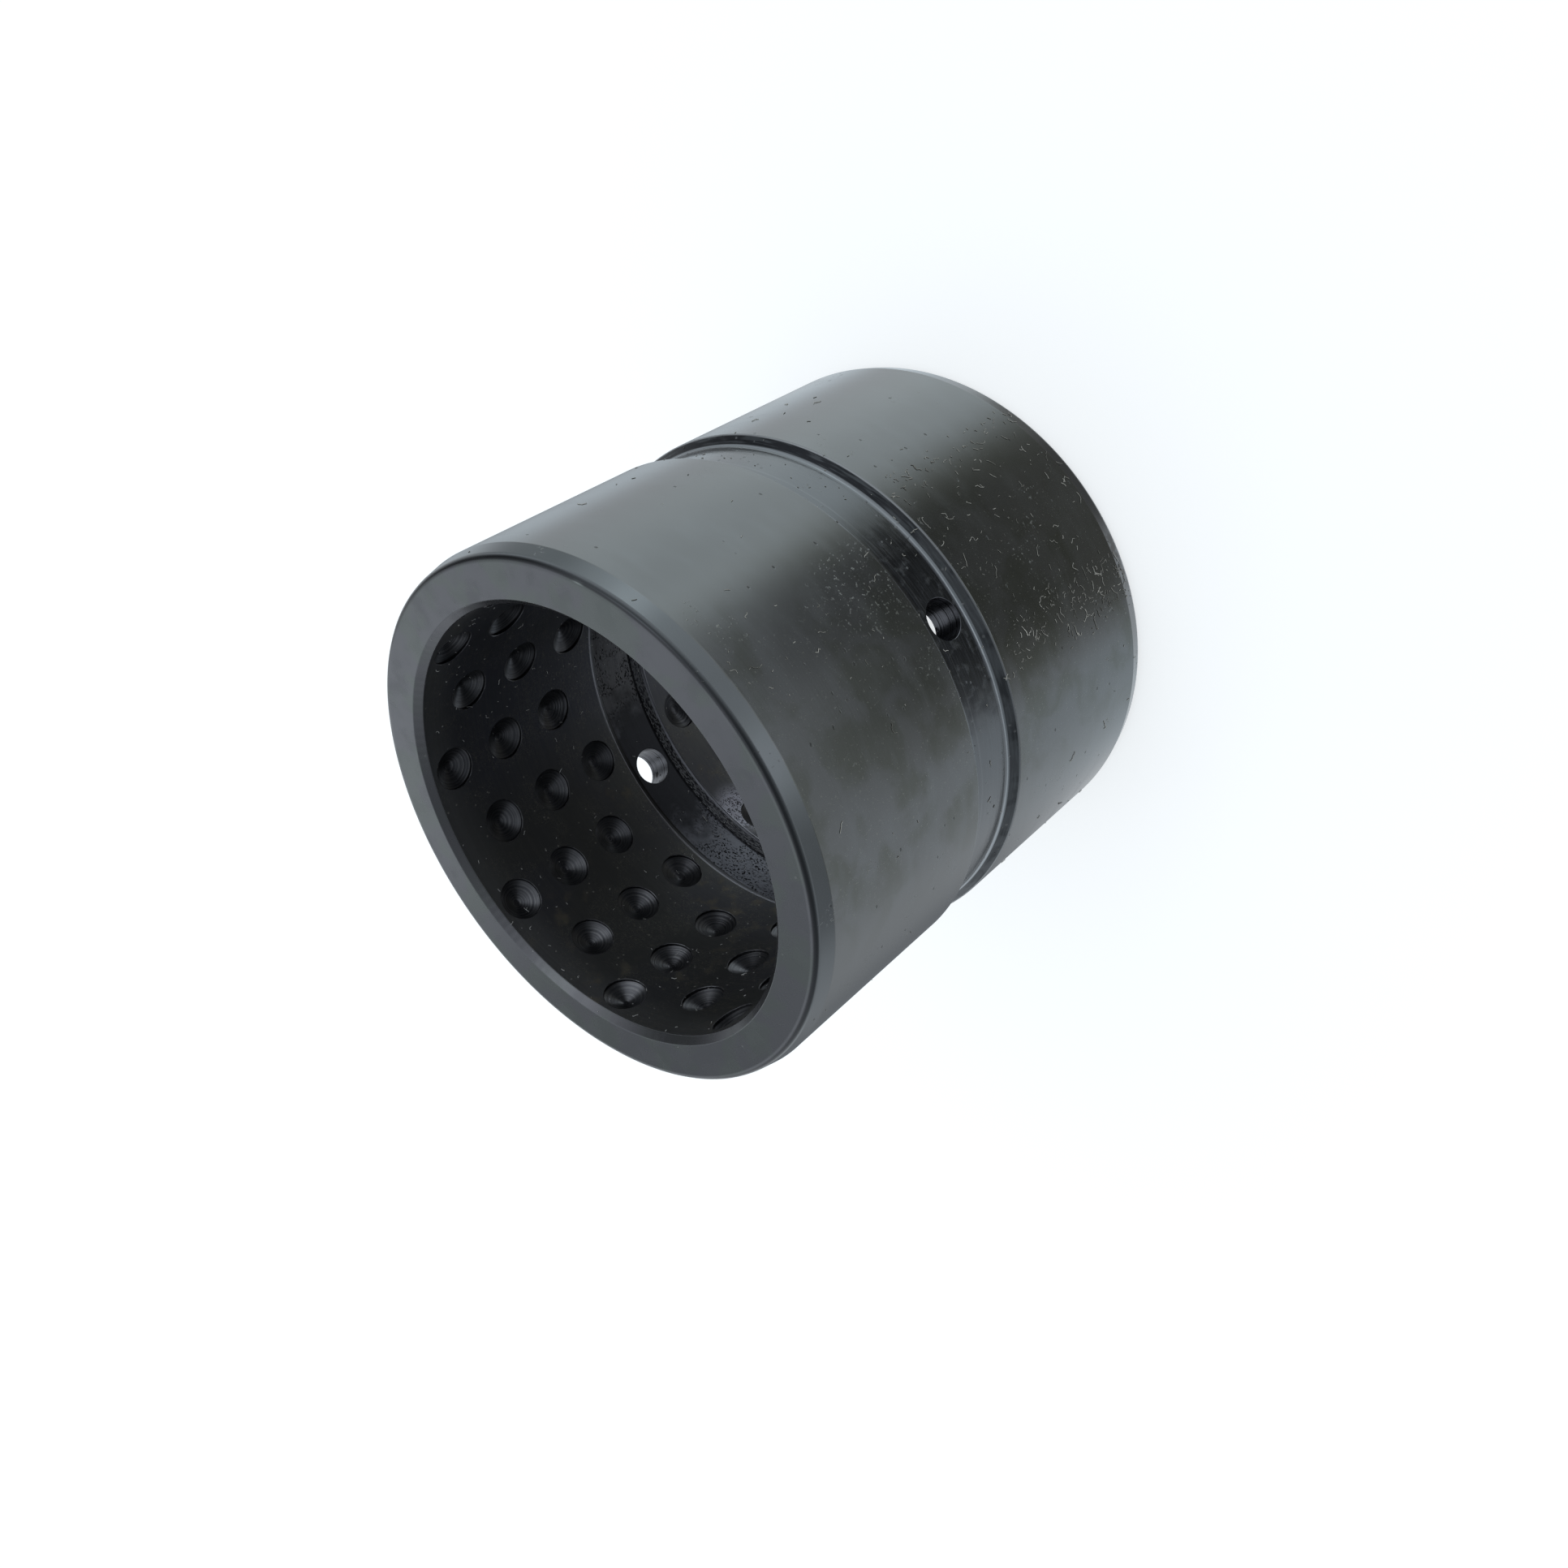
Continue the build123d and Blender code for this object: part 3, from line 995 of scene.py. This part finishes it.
def lint_bed(bed, finish):
    """Short curled fibres and grit that stick to the oil, thickest outside, none in the air."""
    sizes = {
        "Fibres a square metre": 110000.0, "Fibre length": 1.0 * MM, "Fibre radius": 0.045 * MM,
        "Curl": 0.75 * MM, "Seed": 5,
    }
    tree, given = tree_with_inputs("lint bed", sizes)
    given = given.outputs
    here = add(tree, "GeometryNodeInputPosition")
    radius = add(tree, "VectorMath", {0: here, 1: (1, 1, 0)}, operation="MULTIPLY")
    radius = add(tree, "VectorMath", {0: radius}, operation="LENGTH")
    outside = add(tree, "MapRange", {"Value": radius, 1: OUTER_R - 0.3 * MM, 2: OUTER_R - 0.1 * MM})
    thick = summed(LINT_ELSEWHERE, *(
        (spot(here, Vector(point) * MM, near * MM, far * MM), times)
        for point, near, far, times in LINT_PATCHES
    ))
    height = add(tree, "SeparateXYZ", {0: here}).outputs["Z"]
    off_faces = band(height, 0.9 * MM, LENGTH - 0.9 * MM, 0.1 * MM)
    within = add(tree, "Math", {0: off_faces, 1: SWARF_INSIDE}, operation="MULTIPLY")
    share = add(tree, "Mix", {0: outside, 2: within, 3: thick}, data_type="FLOAT")
    # patches of it, 14 mm wide
    patchy = add(tree, "TexNoise", {"Scale": 70.0, "Detail": 2})
    patchy = add(tree, "MapRange", {"Value": patchy, 1: 0.38, 2: 0.62, 3: 0.45, 4: 1.5})
    density = add(tree, "Math", {0: share, 1: patchy}, operation="MULTIPLY")
    density = add(tree, "Math", {0: density, 1: given["Fibres a square metre"]}, operation="MULTIPLY")
    spots = add(tree, "GeometryNodeDistributePointsOnFaces", {
        "Mesh": given["Geometry"], "Density": density, "Seed": given["Seed"],
    })
    marked = add(tree, "GeometryNodeStoreNamedAttribute", {
        "Geometry": spots, "Name": "surface_normal", "Value": spots.outputs["Normal"],
    }, data_type="FLOAT_VECTOR")
    turn = add(tree, "FunctionNodeRandomValue", {3: 2 * math.pi, "Seed": given["Seed"]})
    laid = add(tree, "FunctionNodeRotateRotation", {
        "Rotation": spots.outputs["Rotation"], "Rotate By": add(tree, "CombineXYZ", {"Z": turn}),
    }, rotation_space="LOCAL")
    # most fibres are short, a few are long, and the swarf is half as long
    short = add(tree, "FunctionNodeRandomValue", {"Seed": 3})
    short = add(tree, "Math", {0: short, 1: 4.0}, operation="POWER")
    short = add(tree, "MapRange", {"Value": short, 3: 0.28, 4: 1.7})
    thinner = add(tree, "MapRange", {"Value": outside, 3: 0.5, 4: 1.0})
    short = add(tree, "Math", {0: short, 1: thinner}, operation="MULTIPLY")
    fibre_end = add(tree, "CombineXYZ", {"X": given["Fibre length"]})
    fibre = add(tree, "GeometryNodeCurvePrimitiveLine", {"End": fibre_end})
    fibre = add(tree, "GeometryNodeResampleCurve", {"Curve": fibre, "Count": 6})
    placed = add(tree, "GeometryNodeInstanceOnPoints", {
        "Points": marked, "Instance": fibre, "Rotation": laid, "Scale": short,
    })
    fibres = add(tree, "GeometryNodeRealizeInstances", {"Geometry": placed})
    # each fibre bends about once a millimetre, and stays on the steel
    curl = add(tree, "TexNoise", {"Scale": 1100.0, "Detail": 1})
    curl = add(tree, "VectorMath", {0: curl.outputs["Color"], 1: (0.5, 0.5, 0.5)}, operation="SUBTRACT")
    away = add(tree, "GeometryNodeInputNamedAttribute", {"Name": "surface_normal"},
               data_type="FLOAT_VECTOR")
    sunk = add(tree, "VectorMath", {0: curl, 1: away}, operation="PROJECT")
    level = add(tree, "VectorMath", {0: curl, 1: sunk}, operation="SUBTRACT")
    reach = add(tree, "Math", {0: given["Curl"], 1: 3.0}, operation="MULTIPLY")
    level = add(tree, "VectorMath", {0: level, "Scale": reach}, operation="SCALE")
    lift = add(tree, "VectorMath", {0: away, "Scale": given["Fibre radius"]}, operation="SCALE")
    moved = add(tree, "VectorMath", {0: level, 1: lift}, operation="ADD")
    curled = add(tree, "GeometryNodeSetPosition", {"Geometry": fibres, "Offset": moved})
    section = add(tree, "GeometryNodeCurvePrimitiveCircle",
                  {"Resolution": 3, "Radius": given["Fibre radius"]})
    tubes = add(tree, "GeometryNodeCurveToMesh",
                {"Curve": curled, "Profile Curve": section, "Fill Caps": True})
    real = add(tree, "GeometryNodeRealizeInstances", {"Geometry": tubes})
    finished = add(tree, "GeometryNodeSetMaterial", {"Geometry": real, "Material": finish})
    add(tree, "NodeGroupOutput", {"Geometry": finished})
    return grown("lint", bed, tree, sizes)


def lint_finish():
    """Packing lint and dried oil outside: dull warm grey threads, each a little lighter or
    darker. Inside, brighter curls of fine swarf that the drilling left."""
    finish, tree, at = finish_tree("packing_lint")
    shade = add(tree, "TexNoise", {"Vector": at.place, "Scale": 0.3, "Detail": 1})
    shade = add(tree, "MapRange", {"Value": shade, 1: 0.35, 2: 0.65})
    inside = add(tree, "Math", {0: at.radius, 1: BORE_R / MM + 2.5}, operation="LESS_THAN")
    colour = painted("#6f6e68", (shade, "#b4b3ac", 1.0), (inside, "#d8d9d8", 0.8))
    shader = add(tree, "BsdfPrincipled", {"Base Color": colour, "Roughness": 0.8})
    add(tree, "OutputMaterial", {"Surface": shader})
    return finish


bushing = make_bushing()
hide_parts("bushing")
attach(bushing, "root")

lint = new_object("packing_lint", lint_bed(bushing.data.copy(), lint_finish()))
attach(lint, "root")

# ---------------------------------------- studio


def make_floor():
    """A table of matt, pale painted board, without an edge in the picture."""
    mesh = bpy.data.meshes.new("floor")
    half = 3.0
    mesh.from_pydata([(-half, -half, 0), (half, -half, 0), (half, half, 0), (-half, half, 0)], [],
                     [(0, 1, 2, 3)])
    floor = new_object("floor", mesh)
    finish = bpy.data.materials.new("pale_studio_sweep")
    tree = blank_tree(finish)
    shader = add(tree, "BsdfPrincipled", {
        "Base Color": paint("#c4c8ca"), "Roughness": 0.7,
        "Emission Color": paint("#fafdff"), "Emission Strength": 0.72,
    })
    add(tree, "OutputMaterial", {"Surface": shader})
    mesh.materials.append(finish)
    # the panels light the steel through the table too, which only the eye sees
    floor.visible_glossy = False
    floor.visible_shadow = False


# Soft panels and black flags round the table, by where they stand as seen from the bushing:
# azimuth, half-width and softness, then elevation, half-height and softness, all in degrees,
# how many times brighter or darker they make the sweep there, and their tint.
PANELS_AND_FLAGS = [
    ("open side of the tent", 4, 55, 17, -57, 14, 7, 0.28, "#fffae8"),
    ("table edge", 6, 36, 10, -47.5, 2.5, 4, 0.17, "#f4f6ff"),
    ("under the table", 45, 85, 15, -77, 10, 4, 0.3, "#fff8f0"),
    ("camera side", 24, 18, 12, -43, 4, 5, 0.55, "#ffffff"),
    ("left glow", 148, 14, 10, -46, 20, 8, 1.22, "#f6fcff"),
    ("left sheet", -95, 35, 15, -55, 7, 5, 1.14, "#f3fbff"),
    ("right glow", 58, 8, 8, -42, 4, 4, 1.25, "#ffffff"),
    ("right panel", 79, 36, 19, -41, 29, 12, 1.6, "#fbfffd"),
    ("high panel", 73, 16, 18, 52, 9, 8, 2.1, "#ffffff"),
    ("shade above the lens", -36, 70, 50, 35, 34, 8, 0.33, "#fbfdff"),
    ("shade behind", -165, 9, 5, 28, 10, 8, 0.35, "#fbfdff"),
    ("strip behind", 174, 9, 9, 24, 7, 8, 1.4, "#ffffff"),
    ("left fall-off", -162, 40, 27, -34, 12, 5, 0.27, "#f8fbff"),
    ("tent seam", 130, 30, 17, 23, 15, 12, 0.15, "#ffffff"),
    ("front strip", -9, 12, 10, -11, 8, 8, 1.6, "#ffffff"),
    ("right bar", 64, 8, 8, -16, 6, 5, 1.6, "#ffffff"),
    ("right gap", 109, 21, 11, -19, 7, 5, 0.5, "#ffffff"),
    ("left gap", -56, 24, 12, -16, 8, 5, 0.55, "#ffffff"),
]


def soft_window(angle, centre, half, softness):
    """1 within half of the centre, and 0 a softness further out, round the circle."""
    tree = angle.id_data
    off = add(tree, "Math", {0: angle, 1: centre}, operation="SUBTRACT")
    off = add(tree, "Math", {0: off, 1: 180, 2: -180}, operation="WRAP")
    off = add(tree, "Math", {0: off}, operation="ABSOLUTE")
    return add(tree, "MapRange", {"Value": off, 1: half + softness, 2: half - softness},
               interpolation_type="SMOOTHSTEP")


def make_studio_light():
    """A white sweep all round, with the panels and flags in the light but out of the picture."""
    world = bpy.data.worlds.new("white_studio")
    tree = blank_tree(world)
    way = add(tree, "SeparateXYZ", {0: add(tree, "TexCoord").outputs["Generated"]})
    azimuth = add(tree, "Math", {0: way.outputs["Y"], 1: way.outputs["X"]}, operation="ARCTAN2")
    azimuth = add(tree, "Math", {0: azimuth}, operation="DEGREES")
    elevation = add(tree, "Math", {0: way.outputs["Z"]}, operation="ARCSINE")
    elevation = add(tree, "Math", {0: elevation}, operation="DEGREES")
    colour = paint("#f4faff")
    for _, side, width, side_soft, height, tall, height_soft, times, tint in PANELS_AND_FLAGS:
        across = soft_window(azimuth, side, width, side_soft)
        upright = soft_window(elevation, height, tall, height_soft)
        gain = [c * times for c in paint(tint)[:3]] + [1]
        colour = add(tree, "Mix", {0: overlap(across, upright), 6: colour, 7: gain},
                     data_type="RGBA", blend_type="MULTIPLY")
    light = add(tree, "Background", {"Color": colour, "Strength": 0.86})
    seen = add(tree, "Background", {"Color": paint("#fbfdfe"), "Strength": 1.0})
    path = add(tree, "LightPath")
    mixed = add(tree, "MixShader", {0: path.outputs["Is Camera Ray"], 1: light, 2: seen})
    add(tree, "OutputWorld", {"Surface": mixed})
    bpy.context.scene.world = world


make_floor()
make_studio_light()
bpy.context.scene.view_settings.view_transform = "Standard"
